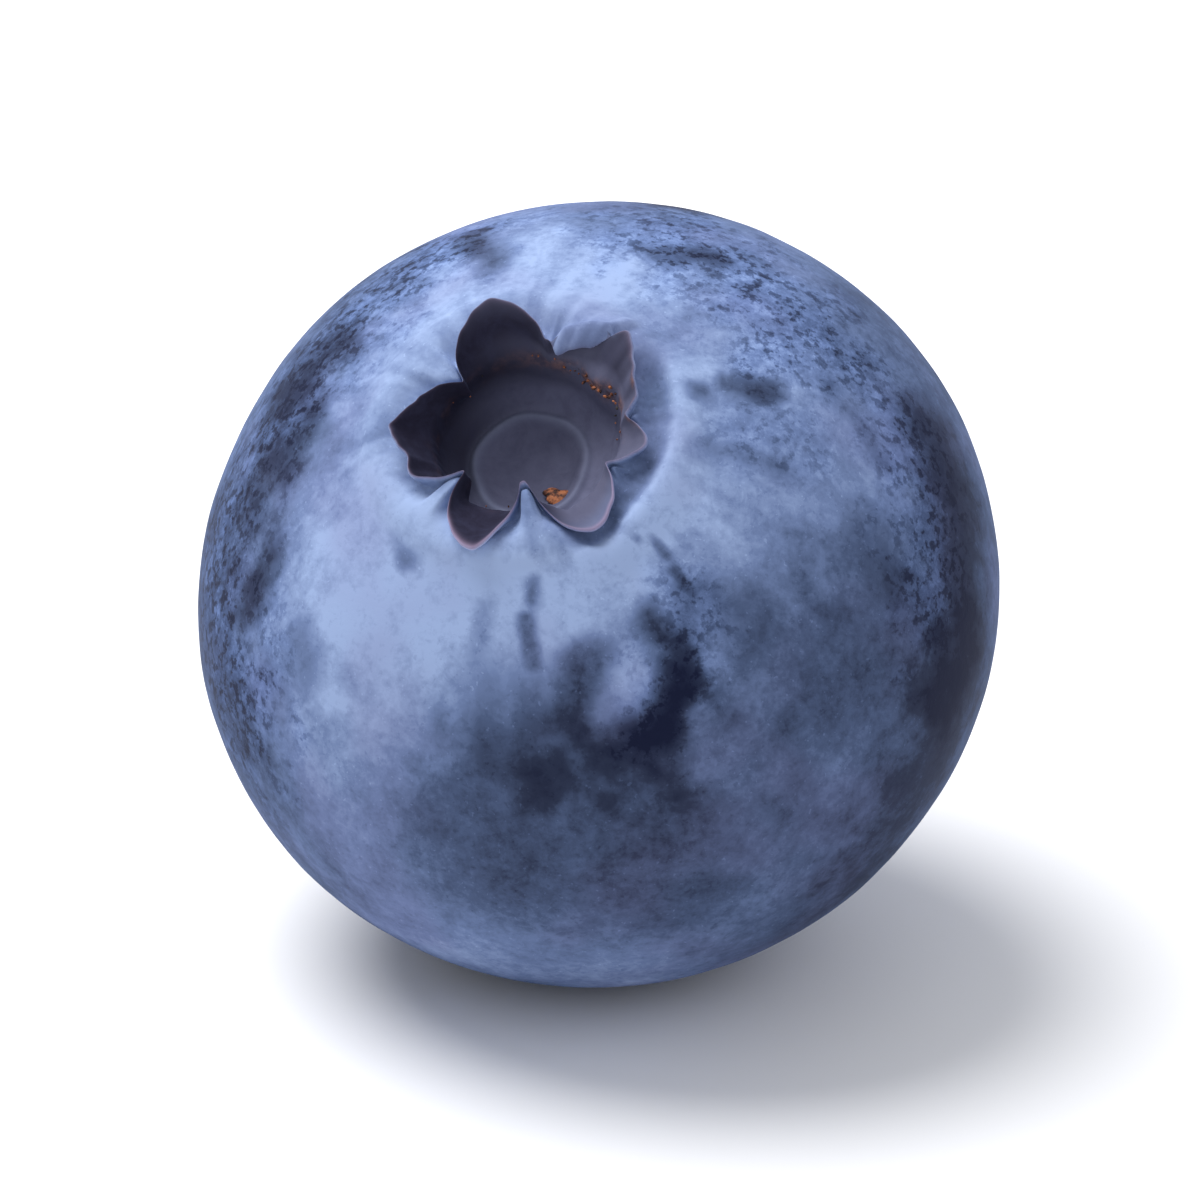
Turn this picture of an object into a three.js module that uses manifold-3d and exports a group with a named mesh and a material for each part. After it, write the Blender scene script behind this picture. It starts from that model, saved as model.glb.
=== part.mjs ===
// A ripe highbush blueberry lying on a level surface with its crown leaning over, millimetres, +Z up.
// The berry grew as one body, so it is one mesh: skin, frilled crown with its cup, and stem scar.
import * as THREE from "three";
import { ParametricGeometry } from "three/addons/geometries/ParametricGeometry.js";
import { mergeVertices } from "three/addons/utils/BufferGeometryUtils.js";
import Module from "manifold-3d";

// ---- driving dimensions ----
const BERRY_RADIUS = 9; // half the width across the equator
const POLE_HEIGHT = 8.05; // from the middle of the berry to the crown pole, before the crown
const CROWN_RING_RADIUS = 3.75; // the crease where the crown meets the skin
const CUP_RADIUS = 1.95; // the hollow inside the crown, at its wall
const CUP_DEPTH = 2; // from the crease down to the floor of the cup
const LOBE_REACH = 3.1; // from the crown's axis out to the tip of a full-sized lobe
const LOBE_RISE = 1.15; // from the crease up to the tip of a full-sized lobe
const NOTCH_RADIUS = 1.7; // from the axis to the edge between two lobes
const EDGE_THICKNESS = 0.18; // of the papery lobe edge
const COLLAR_RISE = 0.7; // the collar of skin that carries the lobes, above the crease
const STEM_DIMPLE_RADIUS = 2.3;
const STEM_DIMPLE_DEPTH = 0.6;
const STEM_SCAR_RADIUS = 0.9;
const STEM_SCAR_RISE = 0.22;
const LUMPINESS = 0.06; // how far the skin wanders in and out of true round
const CROWN_TILT = 36.5; // degrees the crown's axis leans away from straight up
const CROWN_HEADING = 246.7; // degrees round from +X to the way it leans
const REST_MARGIN = 1.07; // how far the pressed flat under it reaches past the middle of its weight

// Lobes round the crown, counter-clockwise from its lowest side: where the tip stands,
// half the width at the root, size against a full lobe, and how far the tip has flopped.
const LOBES = [
  { azimuth: 4, halfWidth: 22, size: 1.12, flop: 0.3 },
  { azimuth: 48, halfWidth: 20, size: 1.2, flop: 0.55 },
  { azimuth: 90, halfWidth: 22, size: 1.1, flop: 0.35 },
  { azimuth: 143, halfWidth: 30, size: 1.05, flop: 0.1 },
  { azimuth: 206, halfWidth: 37, size: 1, flop: 0 },
  { azimuth: 284, halfWidth: 31, size: 0.86, flop: 0.05 },
  { azimuth: 311, halfWidth: 18, size: 0.66, flop: 0.1 },
];
const WIDE_SIDE = { azimuth: 105, halfWidth: 65, size: 0.5 }; // where the cup's edge has split open

const AZIMUTH_STEPS = 80;
const CROWN_ROWS = 24;
const SKIN_ROWS = 20;
const STEM_ROWS = 5;

const SKIN_COLOUR = 0x55658f;

// ---- outlines, as radius from the axis and height above the middle of the berry ----
const RING_HEIGHT = POLE_HEIGHT * Math.sqrt(1 - (CROWN_RING_RADIUS / BERRY_RADIUS) ** 2);
const DIMPLE_HEIGHT = -POLE_HEIGHT * Math.sqrt(1 - (STEM_DIMPLE_RADIUS / BERRY_RADIUS) ** 2);

const crownPoint = (radius, rise) => new THREE.Vector2(radius, RING_HEIGHT + rise);
// A point on the collar, a share of the way out from the notch's edge to the crease.
const collarPoint = (share, rise) =>
  crownPoint(THREE.MathUtils.lerp(NOTCH_RADIUS, CROWN_RING_RADIUS, share), rise);

const CUP = [
  crownPoint(0, -CUP_DEPTH),
  crownPoint(0.45 * CUP_RADIUS, 0.1 - CUP_DEPTH),
  crownPoint(0.8 * CUP_RADIUS, -0.78 * CUP_DEPTH),
  crownPoint(0.95 * CUP_RADIUS, -0.6 * CUP_DEPTH),
  crownPoint(CUP_RADIUS, -0.3 * CUP_DEPTH),
];
const crease = crownPoint(CROWN_RING_RADIUS, 0);

// Up the cup wall, over the low edge between two lobes and down the collar.
const notchOutline = new THREE.SplineCurve([
  ...CUP,
  crownPoint(NOTCH_RADIUS + 0.12, 0.1 * COLLAR_RISE),
  crownPoint(NOTCH_RADIUS, 0.8 * COLLAR_RISE),
  crownPoint(NOTCH_RADIUS, COLLAR_RISE + 0.06),
  crownPoint(NOTCH_RADIUS + EDGE_THICKNESS, COLLAR_RISE + 0.1),
  collarPoint(0.22, COLLAR_RISE + 0.06),
  collarPoint(0.49, 0.93 * COLLAR_RISE),
  collarPoint(0.76, 0.55 * COLLAR_RISE),
  crease,
]);

// Up the cup wall, out along the inside of a lobe, round its tip and back under it.
const lobeOutline = new THREE.SplineCurve([
  ...CUP,
  crownPoint(CUP_RADIUS + 0.15, 0.15),
  crownPoint(0.82 * LOBE_REACH, 0.6 * LOBE_RISE),
  crownPoint(LOBE_REACH - 0.08, LOBE_RISE),
  crownPoint(LOBE_REACH, LOBE_RISE - EDGE_THICKNESS),
  crownPoint(0.91 * LOBE_REACH, 0.6 * LOBE_RISE),
  collarPoint(0.61, 0.7 * COLLAR_RISE),
  collarPoint(0.8, 0.45 * COLLAR_RISE),
  crease,
]);

const stemOutline = new THREE.SplineCurve([
  new THREE.Vector2(STEM_DIMPLE_RADIUS, DIMPLE_HEIGHT),
  new THREE.Vector2(0.7 * STEM_DIMPLE_RADIUS, DIMPLE_HEIGHT + 0.55 * STEM_DIMPLE_DEPTH),
  new THREE.Vector2(STEM_SCAR_RADIUS, DIMPLE_HEIGHT + STEM_DIMPLE_DEPTH),
  new THREE.Vector2(0.85 * STEM_SCAR_RADIUS, DIMPLE_HEIGHT + STEM_DIMPLE_DEPTH - STEM_SCAR_RISE),
  new THREE.Vector2(0.4 * STEM_SCAR_RADIUS, DIMPLE_HEIGHT + STEM_DIMPLE_DEPTH - STEM_SCAR_RISE),
  new THREE.Vector2(0, DIMPLE_HEIGHT + STEM_DIMPLE_DEPTH),
]);

// ---- how the outline changes round the axis ----
// A rounded swelling: 1 at its middle, 0 beyond its half width.
function swelling(azimuth, { azimuth: middle, halfWidth, size }) {
  const away = THREE.MathUtils.euclideanModulo(azimuth - middle + 180, 360) - 180;
  return size * Math.max(0, 1 - (away / halfWidth) ** 2) ** 0.6;
}

function lobeAt(azimuth) {
  let best = { share: swelling(azimuth, WIDE_SIDE), flop: 0.15 };
  for (const lobe of LOBES) {
    const share = swelling(azimuth, lobe);
    if (share > best.share) best = { share, flop: lobe.flop };
  }
  return best;
}

// The crown's outline at one azimuth, a share of the way from notch to lobe.
function crownSection(azimuth, along) {
  const { share, flop } = lobeAt(azimuth);
  const point = notchOutline.getPoint(along).lerp(lobeOutline.getPoint(along), share);
  const blade = Math.max(0, (point.x - CUP_RADIUS) / (LOBE_REACH - CUP_RADIUS));
  const clear = THREE.MathUtils.clamp((point.y - RING_HEIGHT) / COLLAR_RISE - 0.7, 0, 1);
  point.y -= flop * share * blade * clear;
  return point;
}

// Down the round skin from the crease to the edge of the stem dimple.
function skinSection(azimuth, along) {
  const from = Math.acos(RING_HEIGHT / POLE_HEIGHT);
  const to = Math.acos(DIMPLE_HEIGHT / POLE_HEIGHT);
  const polar = THREE.MathUtils.lerp(from, to, along);
  const fade = Math.sin(Math.PI * along) ** 2;
  const wander = Math.cos(THREE.MathUtils.degToRad(3 * azimuth - 40)) + Math.cos(2 * polar + 1);
  return new THREE.Vector2(
    BERRY_RADIUS * Math.sin(polar) + LUMPINESS * fade * wander,
    POLE_HEIGHT * Math.cos(polar),
  );
}

const ROWS = CROWN_ROWS + SKIN_ROWS + STEM_ROWS;

function berrySkin(around, down, target) {
  const azimuth = 360 * (1 - around);
  const row = Math.round(down * ROWS);
  let section;
  if (row <= CROWN_ROWS) section = crownSection(azimuth, row / CROWN_ROWS);
  else if (row <= ROWS - STEM_ROWS) section = skinSection(azimuth, (row - CROWN_ROWS) / SKIN_ROWS);
  else section = stemOutline.getPoint((row - CROWN_ROWS - SKIN_ROWS) / STEM_ROWS);
  const turn = THREE.MathUtils.degToRad(azimuth);
  target.set(section.x * Math.cos(turn), section.x * Math.sin(turn), section.y);
}

// ---- the solid, turned to the way the berry lies and cut by the ground it rests on ----
const wasm = await Module();
wasm.setup();

function solidOf(geometry) {
  geometry.deleteAttribute("normal");
  geometry.deleteAttribute("uv");
  const merged = mergeVertices(geometry, 1e-3);
  return new wasm.Manifold(
    new wasm.Mesh({
      numProp: 3,
      vertProperties: merged.attributes.position.array,
      triVerts: new Uint32Array(merged.index.array),
    }),
  );
}

function geometryOf(solid) {
  const { vertProperties, triVerts } = solid.getMesh();
  const geometry = new THREE.BufferGeometry();
  geometry.setAttribute("position", new THREE.BufferAttribute(vertProperties, 3));
  geometry.setIndex(new THREE.BufferAttribute(triVerts, 1));
  geometry.computeVertexNormals();
  return geometry;
}

const upright = new ParametricGeometry(berrySkin, AZIMUTH_STEPS, ROWS);
upright.rotateY(THREE.MathUtils.degToRad(CROWN_TILT));
upright.rotateZ(THREE.MathUtils.degToRad(CROWN_HEADING));

// The lowest point of the leaning berry goes over the origin, a little below the ground.
const axis = new THREE.Vector3(0, 0, 1)
  .applyAxisAngle(new THREE.Vector3(0, 1, 0), THREE.MathUtils.degToRad(CROWN_TILT))
  .applyAxisAngle(new THREE.Vector3(0, 0, 1), THREE.MathUtils.degToRad(CROWN_HEADING));
const lowest = new THREE.Vector3(0, 0, -(BERRY_RADIUS ** 2)).addScaledVector(
  axis,
  (BERRY_RADIUS ** 2 - POLE_HEIGHT ** 2) * axis.z,
);
lowest.divideScalar(Math.sqrt(-lowest.z));

// Its own weight presses a small flat, wide enough for the berry to lie still on.
const flatRadius = Math.hypot(lowest.x, lowest.y) + REST_MARGIN;
const restSink = flatRadius ** 2 / (2 * BERRY_RADIUS);
upright.translate(-lowest.x, -lowest.y, -lowest.z - restSink);

const resting = solidOf(upright).trimByPlane([0, 0, 1], 0);

const berry = new THREE.Mesh(
  geometryOf(resting),
  new THREE.MeshStandardMaterial({ color: SKIN_COLOUR, roughness: 0.55, metalness: 0 }),
);
berry.name = "berry";

const blueberry = new THREE.Group();
blueberry.name = "blueberry";
blueberry.add(berry);

export default blueberry;
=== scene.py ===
# %% [markdown]
# # A ripe blueberry
#
# A blueberry looks simple from far away and is full of small surprises close up: a body that is
# a little flatter than a ball, a frilled crown of dried calyx lobes round a shallow cup, and a
# pale wax bloom that every touch wipes off. This lesson builds one in Blender, a layer at a time.
#
# The first step loads the solid that the physics uses. It is the frame: everything made here
# sits in the same place and at the same size, in metres, with Z up.

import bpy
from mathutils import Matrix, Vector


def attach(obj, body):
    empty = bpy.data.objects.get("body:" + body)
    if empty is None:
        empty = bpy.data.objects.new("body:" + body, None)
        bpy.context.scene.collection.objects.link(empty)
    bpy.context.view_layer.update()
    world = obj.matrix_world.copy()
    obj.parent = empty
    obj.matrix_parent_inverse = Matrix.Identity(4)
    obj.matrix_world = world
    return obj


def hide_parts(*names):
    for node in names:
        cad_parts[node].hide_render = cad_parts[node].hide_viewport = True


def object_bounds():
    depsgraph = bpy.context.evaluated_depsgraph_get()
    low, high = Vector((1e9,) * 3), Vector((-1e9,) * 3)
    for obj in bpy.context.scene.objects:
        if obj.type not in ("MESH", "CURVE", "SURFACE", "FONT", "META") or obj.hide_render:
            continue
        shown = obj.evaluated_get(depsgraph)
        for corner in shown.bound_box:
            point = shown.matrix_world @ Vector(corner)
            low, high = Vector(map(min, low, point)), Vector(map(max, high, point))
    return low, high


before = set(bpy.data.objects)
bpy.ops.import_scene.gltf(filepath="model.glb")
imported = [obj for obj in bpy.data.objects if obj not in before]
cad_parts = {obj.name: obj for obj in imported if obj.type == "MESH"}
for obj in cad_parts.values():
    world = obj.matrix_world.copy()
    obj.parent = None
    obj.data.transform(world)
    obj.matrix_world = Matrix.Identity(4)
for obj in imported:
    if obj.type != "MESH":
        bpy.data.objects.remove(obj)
solid_box = [list(corner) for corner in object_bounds()]
print("solid box, mm:", [[round(1000 * v, 2) for v in corner] for corner in solid_box])

# %% Tools of the trade
import math

import bpy
import numpy as np
from mathutils import Vector, noise

MM = 0.001
scene = bpy.context.scene

# %% [markdown]
# ## The camera
#
# A berry this small is seen through a long lens from a little way off, so nothing looks swollen
# by perspective. The camera looks along +Y, down at the ground by a little over a quarter of a
# right angle, and aims at the middle of the solid's box, so it finds the berry wherever that lies.

# %% Set up the camera
LOOK_DOWN = math.radians(26)
CAMERA_DISTANCE = 0.36
FRAME_WIDTH = 0.0268  # how much of the world fits across the picture at the berry

low, high = (np.array(corner) for corner in solid_box)
aim = Vector((low + high) / 2) + Vector((0, 0, -0.0003))

camera_data = bpy.data.cameras.new("camera")
camera_data.sensor_width = 36
camera_data.lens = 36 * CAMERA_DISTANCE / FRAME_WIDTH
camera = bpy.data.objects.new("camera", camera_data)
camera.location = aim + CAMERA_DISTANCE * Vector((0, -math.cos(LOOK_DOWN), math.sin(LOOK_DOWN)))
camera.rotation_euler = (math.pi / 2 - LOOK_DOWN, 0, 0)
scene.collection.objects.link(camera)
scene.camera = camera
print("lens, mm:", round(camera_data.lens))

# %% [markdown]
# ## How the berry is described
#
# Everything on a blueberry grew round one axis, from the cup in the crown to the scar of the
# stalk. So each point of its skin has an azimuth, counted round that axis from the crown's lowest
# side, and a place along an outline that runs from the middle of the cup, up its wall, over the
# crown, down the round body and into the stem dimple. All these sizes are in millimetres.

# %% Sizes of the berry
BERRY_RADIUS = 9.0
POLE_HEIGHT = 8.05
CREASE_RADIUS = 3.75  # where the crown's collar meets the round body
CUP_RADIUS = 1.95
CUP_DEPTH = 2.0
NOTCH_RADIUS = 1.6  # the cup's edge between two lobes
DIMPLE_RADIUS = 2.3
DIMPLE_DEPTH = 0.6
SCAR_RADIUS = 0.9
CROWN_TILT = math.radians(36.5)
CROWN_HEADING = math.radians(246.7)
REST_MARGIN = 1.07  # how far the pressed flat reaches past the middle of the weight

crease_height = POLE_HEIGHT * math.sqrt(1 - (CREASE_RADIUS / BERRY_RADIUS) ** 2)
dimple_height = -POLE_HEIGHT * math.sqrt(1 - (DIMPLE_RADIUS / BERRY_RADIUS) ** 2)
FOOT_RADIUS = 4.45  # where the collar's slope has run out on the round body
foot_height = POLE_HEIGHT * math.sqrt(1 - (FOOT_RADIUS / BERRY_RADIUS) ** 2)
foot_polar = math.acos(foot_height / POLE_HEIGHT)
dimple_polar = math.acos(dimple_height / POLE_HEIGHT)

AROUND = 480
azimuth = np.arange(AROUND) * 360 / AROUND
turn = np.radians(azimuth)
print("crease stands", round(crease_height, 2), "above the middle")

# %% [markdown]
# Growth is never even. `wobble` gives a gentle wander round the axis: a handful of waves with
# random starts, the short ones smaller than the long ones. The start number is fixed, so the
# berry comes out the same each time.


# %% Uneven growth
def wobble(start, slowest, fastest, size):
    rng = np.random.default_rng(start)
    waves = np.zeros(AROUND)
    for count in range(slowest, fastest + 1):
        waves += np.sin(count * turn + rng.uniform(0, 2 * math.pi)) / count
    return size * waves / np.abs(waves).max()


def mix(a, b, share):
    return a + (b - a) * share


def smooth(x, low, high):
    x = np.clip((x - low) / (high - low), 0, 1)
    return x * x * (3 - 2 * x)


# %% [markdown]
# ## The open side of the cup
#
# On one side the cup has split open: its wall leans out and the torn edge lies low over a shallow
# moat. `wide` is 1 on that side and 0 elsewhere. `notch` is how far out the cup's edge lies
# between two lobes, and `notch_rise` how high it stands there.

# %% Where the cup is open
wide = smooth(azimuth, 34, 48) * (1 - smooth(azimuth, 122, 142))
notch = NOTCH_RADIUS + 0.6 * wide
notch_rise = mix(0.6, 0.45, wide)
print("open side:", round((wide > 0.5).sum() * 360 / AROUND), "degrees of the edge")

# %% [markdown]
# ## The crown's lobes
#
# The crown is what is left of the flower's calyx: thin dry lobes that stand round the cup like
# the points of a star. No two are alike. Each is described by the azimuths where it starts, where
# its tip stands and where it ends, how far out and how high the tip reaches, and how blunt it is
# before and after the tip: a large number makes that side round, and a small one makes it hollow.
# The list goes once round the axis, so azimuths past 360 come round again.

# %% The lobes, round the crown
LOBES = [
    dict(start=336, tip=365, end=385, reach=3.35, rise=0.85, before=1.5, after=0.85),  # low side
    dict(start=379, tip=390, end=399, reach=1.8, rise=0.92, before=1.0, after=1.0),  # upright
    dict(start=390, tip=410, end=438, reach=3.5, rise=0.5, before=1.0, after=1.4),
    dict(start=436, tip=451, end=466, reach=3.15, rise=0.5, before=1.2, after=1.6),  # torn tooth
    dict(start=462, tip=474, end=500, reach=2.8, rise=0.6, before=1.0, after=1.4),  # torn tooth
    dict(start=458, tip=501, end=545, reach=3.15, rise=1.0, before=1.0, after=0.85),  # folded
    dict(start=532, tip=567, end=603, reach=2.88, rise=1.14, before=1.2, after=1.4),  # high side
    dict(start=605, tip=648, end=690, reach=2.74, rise=1.0, before=0.65, after=1.3),
    dict(start=650, tip=677, end=693, reach=2.62, rise=0.9, before=1.2, after=1.2),
]
LOBE_SIDES = 0.72  # how steeply a lobe's sides rise out of the notch
ROUNDING = 1.0  # degrees over which a corner of the edge is rounded


def lobe_shape(lobe):
    """How much of a lobe stands at every azimuth: 1 at its tip, 0 outside it."""
    at = lobe["start"] + (azimuth - lobe["start"]) % 360
    before = np.clip((lobe["tip"] - at) / (lobe["tip"] - lobe["start"]), 0, 1)
    after = np.clip((at - lobe["tip"]) / (lobe["end"] - lobe["tip"]), 0, 1)
    return (1 - np.maximum(before ** lobe["before"], after ** lobe["after"])) ** LOBE_SIDES


def rounded(line):
    """The same line round the axis, with its corners lightly rounded."""
    spread = np.exp(-0.5 * (np.minimum(azimuth, 360 - azimuth) / ROUNDING) ** 2)
    return np.fft.ifft(np.fft.fft(line) * np.fft.fft(spread / spread.sum())).real


reach, rise = notch, notch_rise
for lobe in LOBES:
    share = lobe_shape(lobe)
    out = mix(notch, lobe["reach"], share)
    rise = np.where(out > reach, mix(notch_rise, lobe["rise"], share), rise)
    reach = np.maximum(reach, out)

reach = rounded(reach) + wobble(11, 14, 60, 0.03)
rise = rounded(rise) + wobble(12, 9, 30, 0.03)
lobe_share = smooth(reach, notch, notch + 1.0)
print("crown reaches", round(reach.max(), 2), "mm out and", round(rise.max(), 2), "mm up")

# %% [markdown]
# One lobe has folded over: its dry edge lies inwards like a turned-down collar. `fold` says how
# far each azimuth is folded, and the other lobes only curl a little at the edge.

# %% Folded and curled edges
FOLD = dict(start=142, end=174, flap=0.55)
RUSTY_SIDE = 138  # the azimuth where the ledge is rustiest
fold = smooth(azimuth, FOLD["start"], FOLD["start"] + 10) * (
    1 - smooth(azimuth, FOLD["end"] - 6, FOLD["end"] + 3)
)
curl = wobble(21, 2, 11, 0.08) * lobe_share
print("folded over:", round((fold > 0.5).sum() * 360 / AROUND), "degrees of the edge")

# %% [markdown]
# ## The outline of the crown
#
# At each azimuth the outline passes through the same run of points: the floor of the cup with its
# low ridge, the ledge where petals and stamens stood, the inside of the lobe, its thin edge, its
# back, and the collar. A curve through them all makes it a smooth line. The curve used here is a
# centripetal Catmull-Rom spline, because it never makes loops where points crowd at an edge.

# %% Points of the crown's outline
EDGE = 0.07  # thickness of the papery edge
BLADE = 0.13  # thickness of a lobe nearer its root
RIDGE_RADIUS = 1.27
CREST_RADIUS = 3.66  # near the collar's foot; on the open side, the moat's outer rim

cup_wander = wobble(31, 2, 7, 0.05)
pleat = wobble(33, 20, 70, 0.012)
ridge_shift = 0.12 * np.cos(turn - math.radians(275))  # the ridge isn't quite on the axis


def station(radius, height):
    radius = np.broadcast_to(radius, AROUND)
    height = np.broadcast_to(height, AROUND)
    return np.stack([radius, crease_height + height], axis=1)


root_radius = np.minimum(mix(1.82, 1.98, lobe_share) + 0.42 * wide, reach - 0.06)
root_height = 0.06


def blade(share):
    """A point on the inner face of a lobe, from its root to its edge."""
    return mix(root_radius, reach, share), mix(root_height, rise, share)


def under_blade(radius, height):
    """A height on the collar, kept below the lobe that lies over it."""
    share = (radius - root_radius) / np.maximum(reach - root_radius, 0.05)
    lowest_face = mix(root_height, rise, np.clip(share, 0, 1)) - BLADE
    return np.where(share < 1.15, np.minimum(height, lowest_face), height)


bend_radius, bend_height = blade(0.78)
hinge = station(
    mix(bend_radius, reach, fold) + pleat,
    mix(bend_height, rise, fold) + 0.3 * curl,
)
tip = station(
    mix(reach, reach - 0.8 * FOLD["flap"], fold) - 0.6 * curl,
    mix(rise, rise - 0.62 * FOLD["flap"], fold) + 0.4 * curl,
)
tip_back = tip + np.stack(
    [mix(0.035, -0.02, fold) * np.ones(AROUND), mix(-EDGE, EDGE, fold) * np.ones(AROUND)], axis=1
)
hinge_back = hinge + np.stack(
    [mix(0.6, 0.75, fold) * BLADE, mix(-0.8 * BLADE, 0.5 * BLADE, fold)], axis=1
)

middle_radius, middle_height = blade(0.45)
neck_radius = mix(reach + 0.2, blade(0.55)[0] + 0.16, lobe_share)
neck_height = np.minimum(
    mix(rise - 0.02, 0.47 - 0.3 * wide, lobe_share), blade(0.55)[1] - 0.7 * BLADE
)
neck_height = mix(rise - 0.05, neck_height, smooth(lobe_share, 0, 0.5))
neck_radius = mix(neck_radius, reach + 0.24, fold)
neck_height = mix(neck_height, rise - 0.1, fold)
shelf_radius = np.maximum(mix(2.75, 2.95, lobe_share), neck_radius + 0.2)
shelf_height = under_blade(shelf_radius, mix(mix(0.62, 0.5, lobe_share * (1 - fold)), 0.08, wide))
slope_radius = np.maximum(3.3, shelf_radius + 0.2)
slope_height = under_blade(slope_radius, mix(0.42, 0.1, wide))
crest_radius = np.maximum(CREST_RADIUS, reach + 0.42 * wide)
crest_height = mix(0.12, 0.22, wide) - 0.34 * (crest_radius - CREST_RADIUS)

CROWN_POINTS = [
    station(0.28, -CUP_DEPTH + 0.02),
    station(0.7, -CUP_DEPTH + 0.1),
    station(0.82 * RIDGE_RADIUS + ridge_shift + cup_wander, -0.84 * CUP_DEPTH),
    station(RIDGE_RADIUS + ridge_shift + cup_wander, -0.72 * CUP_DEPTH),
    station(1.14 * RIDGE_RADIUS + ridge_shift + cup_wander, -0.75 * CUP_DEPTH),
    station(CUP_RADIUS - 0.16 + 0.12 * wide + cup_wander, -0.56 * CUP_DEPTH),
    station(CUP_RADIUS - 0.04 + 0.24 * wide + cup_wander + pleat, -0.28 * CUP_DEPTH),
    station(root_radius + pleat, root_height),
    station(middle_radius + pleat, middle_height),
    hinge,
    tip,
    tip_back,
    hinge_back,
    station(neck_radius, neck_height),
    station(shelf_radius, shelf_height + 0.5 * pleat),
    station(slope_radius, slope_height + 0.6 * pleat),
    station(crest_radius, crest_height),
    station(FOOT_RADIUS, foot_height - crease_height),
]
ROWS_BETWEEN = [5, 5, 5, 4, 5, 6, 6, 7, 7, 6, 3, 6, 6, 6, 6, 6, 6]
print(len(CROWN_POINTS), "points in the outline")


# %% [markdown]
# `smooth_curve` draws that line for all azimuths at once. Between two points it blends straight
# lines through them and through the point on either side, so it needs four points at a time.

# %% A smooth curve through the points
def smooth_curve(points, rows_between):
    """Rows of a centripetal Catmull-Rom curve, for all azimuths at once."""
    first = 2 * points[0] - points[1]
    last = 2 * points[-1] - points[-2]
    run = [first, *points, last]
    rows = []
    for k, count in enumerate(rows_between):
        a, b, c, d = run[k : k + 4]
        gaps = [np.linalg.norm(q - p, axis=1) for p, q in ((a, b), (b, c), (c, d))]
        step = [np.maximum(gap, 1e-3) ** 0.5 for gap in gaps]
        t0 = np.zeros(len(a))
        t1, t2, t3 = t0 + step[0], t0 + step[0] + step[1], t0 + sum(step)
        for i in range(count):
            t = t1 + (t2 - t1) * i / count

            def between(p, q, tp, tq):
                share = ((t - tp) / (tq - tp))[:, None]
                return p + (q - p) * share

            ab, bc, cd = between(a, b, t0, t1), between(b, c, t1, t2), between(c, d, t2, t3)
            rows.append(between(between(ab, bc, t0, t2), between(bc, cd, t1, t3), t1, t2))
    return rows


crown_rows = smooth_curve(CROWN_POINTS, ROWS_BETWEEN)
print(len(crown_rows), "rows in the crown")

# %% [markdown]
# ## The body and the stem end
#
# The body is a slightly flattened ball. At the far end it sinks into a dimple with the dry,
# slightly raised scar of the stalk.

# %% Outline of the body
SKIN_ROWS = 82


def skin_point(polar):
    radius, height = BERRY_RADIUS * math.sin(polar), POLE_HEIGHT * math.cos(polar)
    return np.stack([np.full(AROUND, radius), np.full(AROUND, height)], axis=1)


shares = (np.arange(SKIN_ROWS) / SKIN_ROWS) ** 1.12
skin_polar = foot_polar + (dimple_polar - foot_polar) * shares
skin_rows = [skin_point(p) for p in skin_polar]

stem_wander = wobble(41, 2, 6, 0.05)
stem_pleat = wobble(43, 24, 60, 0.03)


def stem_station(radius, depth):
    radius = np.broadcast_to(radius, AROUND)
    depth = np.broadcast_to(depth, AROUND)
    return np.stack([radius, dimple_height + depth], axis=1)


STEM_POINTS = [
    stem_station(DIMPLE_RADIUS, 0),
    stem_station(0.74 * DIMPLE_RADIUS, 0.5 * DIMPLE_DEPTH + 0.3 * stem_pleat),
    stem_station(1.2 * SCAR_RADIUS + stem_wander, 0.86 * DIMPLE_DEPTH + stem_pleat),
    stem_station(SCAR_RADIUS + stem_wander, DIMPLE_DEPTH),
    stem_station(0.86 * SCAR_RADIUS + stem_wander, DIMPLE_DEPTH - 0.2 + stem_pleat),
    stem_station(0.55 * SCAR_RADIUS, DIMPLE_DEPTH - 0.16),
    stem_station(0.3 * SCAR_RADIUS, DIMPLE_DEPTH - 0.02),
]
stem_rows = smooth_curve(STEM_POINTS, [6, 4, 3, 4, 3, 2])

# %% [markdown]
# ## From outline to skin
#
# Turning the rows round the axis gives a net of points, closed by one point at either end. The
# body then wanders a little out of true. Last, the berry is tipped to the way it lies, and what
# would reach below the ground is pressed flat, as a soft berry's own weight does.

# %% Turn the outline round the axis
rows = np.array(crown_rows + skin_rows + stem_rows)
radius, height = rows[:, :, 0], rows[:, :, 1]
net = np.stack([radius * np.cos(turn), radius * np.sin(turn), height], axis=2)
cup_end = np.array([[0, 0, crease_height - CUP_DEPTH]])
stem_end = np.array([[0, 0, dimple_height + DIMPLE_DEPTH + 0.02]])
place = np.concatenate([cup_end, net.reshape(-1, 3), stem_end])

row_of = np.concatenate([[0], np.repeat(np.arange(len(rows)), AROUND), [len(rows) - 1]])
azimuth_of = np.concatenate([[0], np.tile(azimuth, len(rows)), [0]])
from_axis = np.hypot(place[:, 0], place[:, 1])
polar_of = np.degrees(np.arctan2(from_axis / BERRY_RADIUS, place[:, 2] / POLE_HEIGHT))


def drift(points, scale, start, octaves=3):
    """Soft noise at each point; scale is the size of its blotches in mm."""
    shift = Vector((start * 7.3, start * 3.1, -start * 5.7))
    return np.array([noise.fractal(Vector(p) / scale + shift, 1.0, 2.0, octaves) for p in points])


body = smooth(row_of, len(crown_rows) - 2, len(crown_rows) + 14)
outward = place / np.array([BERRY_RADIUS, BERRY_RADIUS, POLE_HEIGHT]) ** 2
outward /= np.linalg.norm(outward, axis=1, keepdims=True) + 1e-9
lumps = 0.07 * drift(place, 6.5, 1, 2) + 0.012 * drift(place, 1.3, 2, 2)
place = place + outward * (body * lumps)[:, None]
print("net of", len(rows), "rows by", AROUND)

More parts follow.
